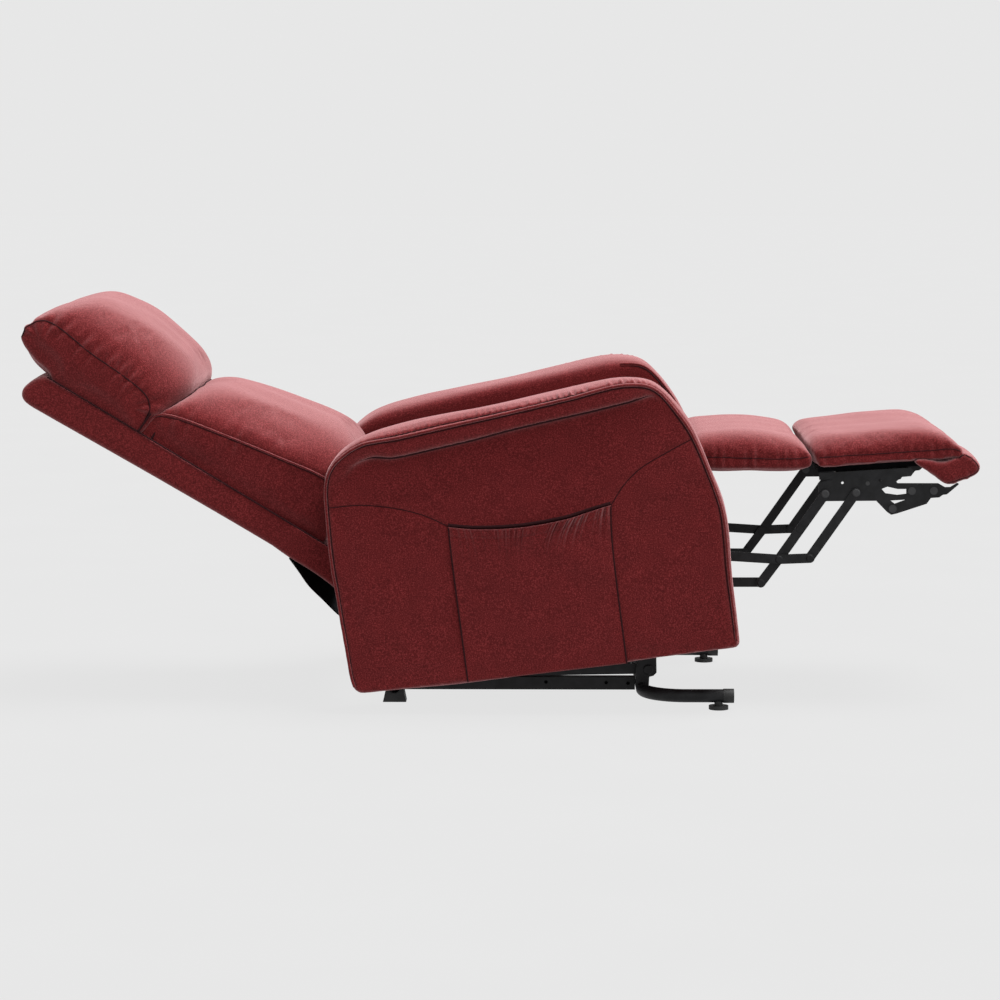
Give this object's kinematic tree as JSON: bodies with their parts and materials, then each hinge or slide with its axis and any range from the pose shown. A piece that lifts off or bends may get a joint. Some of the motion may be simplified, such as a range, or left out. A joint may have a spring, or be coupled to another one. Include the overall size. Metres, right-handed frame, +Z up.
{
  "type": "lift recliner chair",
  "caption": "Upholstered powered lift recliner chair, reclined with its footrest out, with a tilting seat body on a tubular lift base.",
  "frame": {"origin": "on the floor, under the centre of the chair's bounding box as it stands reclined with the footrest out", "axes": "+X the way the sitter faces, +Y to the sitter's left, +Z up"},
  "size_m": [1.811, 0.769, 0.7625],
  "materials": {
    "burgundy_fabric": "woven, heathered",
    "black_cloth": "plain non-woven",
    "black_steel": "powder coated, satin",
    "blackened_steel": "blackened, worn satin",
    "plated_steel": "zinc plated",
    "black_plastic": "matte",
    "handset_plastic": "fine texture",
    "button_plastic": "satin",
    "plywood": "raw plywood"
  },
  "bodies": {
    "base": {"base_front_tube": "black_steel", "tube_end_caps": "black_plastic", "leveling_feet": "black_plastic", "base_side_rail_right": "black_steel", "base_side_rail_left": "black_steel", "base_rear_tube": "black_steel", "rear_feet": "black_plastic", "lift_brackets": "black_steel", "base_motor_ears": "black_steel"},
    "lower_links": {"lift_lower_links": "black_steel"},
    "upper_links": {"lift_upper_links": "black_steel"},
    "riser": {"riser_plates": "black_steel", "riser_tubes": "black_steel", "riser_pins": "blackened_steel"},
    "lift_drive": {"lift_drive_housing": "black_plastic", "lift_drive_tube": "black_steel"},
    "lift_rod": {"lift_drive_rod": "plated_steel"},
    "chassis": {"seat_side_plate_right": "black_steel", "seat_side_plate_left": "black_steel", "chassis_cross_tubes": "black_steel", "tilt_hangers": "black_steel", "recline_motor_ears": "black_steel", "seat_rails": "plywood", "seat_springs": "plated_steel", "seat_deck": "black_cloth", "seat_cushion": "burgundy_fabric", "arm_brackets": "black_steel", "footrest_pivot_pins": "blackened_steel", "arm_panel_right": "burgundy_fabric", "arm_panel_left": "burgundy_fabric", "arm_top_right": "burgundy_fabric", "arm_top_left": "burgundy_fabric", "pocket_right": "burgundy_fabric", "pocket_left": "burgundy_fabric", "handset_back": "handset_plastic", "handset_front": "handset_plastic", "control_box": "black_plastic", "mid_pad": "burgundy_fabric", "back_dust_cloth": "black_cloth"},
    "button_up": {"handset_button_up": "button_plastic"},
    "button_down": {"handset_button_down": "button_plastic"},
    "recline_drive": {"recline_drive_housing": "black_plastic", "recline_drive_tube": "black_steel"},
    "recline_rod": {"recline_drive_rod": "plated_steel"},
    "back": {"recline_axle": "black_steel", "back_brackets": "black_steel", "back_posts": "black_steel", "back_cross_bars": "black_steel", "back_shell": "burgundy_fabric", "back_cushion": "burgundy_fabric", "headrest_pillow": "burgundy_fabric"},
    "links_outer": {"footrest_links_outer": "black_steel"},
    "links_inner": {"footrest_links_inner": "black_steel"},
    "links_rear": {"footrest_links_rear": "black_steel"},
    "links_front": {"footrest_links_front": "black_steel"},
    "footrest": {"footrest_brackets": "black_steel", "footrest_pins": "blackened_steel", "footrest_board": "black_cloth", "foot_pad": "burgundy_fabric", "footrest_roll": "burgundy_fabric"}
  },
  "joints": [
    {"name": "lift", "type": "hinge", "parent": "base", "child": "lower_links", "pos_m": [0.281, 0, 0.062], "axis": [0, 1, 0], "range_deg": [0, 48]},
    {"name": "riser_fold", "type": "hinge", "parent": "lower_links", "child": "riser", "pos_m": [-0.12, 0, 0.07], "axis": [0, 1, 0], "range_deg": [-27.5, 0]},
    {"name": "upper_link_swing", "type": "hinge", "parent": "base", "child": "upper_links", "pos_m": [0.281, 0, 0.105], "axis": [0, 1, 0], "range_deg": [0, 57]},
    {"name": "lift_drive_swing", "type": "hinge", "parent": "base", "child": "lift_drive", "pos_m": [-0.17, 0, 0.042], "axis": [0, 1, 0], "range_deg": [-5.6, 0]},
    {"name": "lift_rod_slide", "type": "slide", "parent": "lift_drive", "child": "lift_rod", "axis": [0.9937, 0, 0.1124], "range_m": [0, 0.0476]},
    {"name": "tilt", "type": "hinge", "parent": "riser", "child": "chassis", "pos_m": [-0.197, 0, 0.075], "axis": [0, 1, 0], "range_deg": [0, 6.6]},
    {"name": "recline", "type": "hinge", "parent": "chassis", "child": "back", "pos_m": [-0.22792, 0, 0.22142], "axis": [0, 1, 0], "range_deg": [0, 38], "deforming": ["back_dust_cloth"]},
    {"name": "recline_drive_swing", "type": "hinge", "parent": "chassis", "child": "recline_drive", "pos_m": [0.10905, 0, 0.19008], "axis": [0, 1, 0], "range_deg": [-0.1, 0.5]},
    {"name": "recline_rod_slide", "type": "slide", "parent": "recline_drive", "child": "recline_rod", "axis": [-0.9866, 0, -0.1633], "range_m": [0, 0.059]},
    {"name": "footrest", "type": "hinge", "parent": "chassis", "child": "footrest", "pos_m": [0.4699, 0, 0.56693], "axis": [0, 1, 0], "range_deg": [0, 83.7], "deforming": ["mid_pad"]},
    {"name": "footrest_outer_link", "type": "hinge", "parent": "chassis", "child": "links_outer", "pos_m": [0.38342, 0, 0.443], "axis": [0, 1, 0], "range_deg": [0, 84]},
    {"name": "footrest_inner_link", "type": "hinge", "parent": "chassis", "child": "links_inner", "pos_m": [0.34967, 0, 0.39741], "axis": [0, 1, 0], "range_deg": [0, 84]},
    {"name": "footrest_rear_link", "type": "hinge", "parent": "links_outer", "child": "links_rear", "pos_m": [0.52618, 0, 0.27851], "axis": [0, 1, 0], "range_deg": [-84, 0]},
    {"name": "footrest_front_link", "type": "hinge", "parent": "links_outer", "child": "links_front", "pos_m": [0.58447, 0, 0.28083], "axis": [0, 1, 0], "range_deg": [-84, 0]},
    {"name": "button_up_press", "type": "slide", "parent": "chassis", "child": "button_up", "axis": [0, -1, 0], "range_m": [0, 0.0012], "stiffness_N_per_m": 300},
    {"name": "button_down_press", "type": "slide", "parent": "chassis", "child": "button_down", "axis": [0, -1, 0], "range_m": [0, 0.0012], "stiffness_N_per_m": 300}
  ],
  "couplings": [
    {"joint": "riser_fold", "follows": "lift", "ratio": -0.5625},
    {"joint": "upper_link_swing", "follows": "lift", "ratio": 1.1842},
    {"joint": "lift_drive_swing", "follows": "lift", "ratio": -0.11212},
    {"joint": "lift_rod_slide", "follows": "lift", "m_per_rad": 0.056458},
    {"joint": "tilt", "follows": "recline", "ratio": 0.17105},
    {"joint": "recline_drive_swing", "follows": "recline", "ratio": 0.006323},
    {"joint": "recline_rod_slide", "follows": "recline", "m_per_rad": 0.088471},
    {"joint": "footrest_outer_link", "follows": "footrest", "ratio": 1},
    {"joint": "footrest_inner_link", "follows": "footrest", "ratio": 1},
    {"joint": "footrest_rear_link", "follows": "footrest", "ratio": -1},
    {"joint": "footrest_front_link", "follows": "footrest", "ratio": -1}
  ]
}
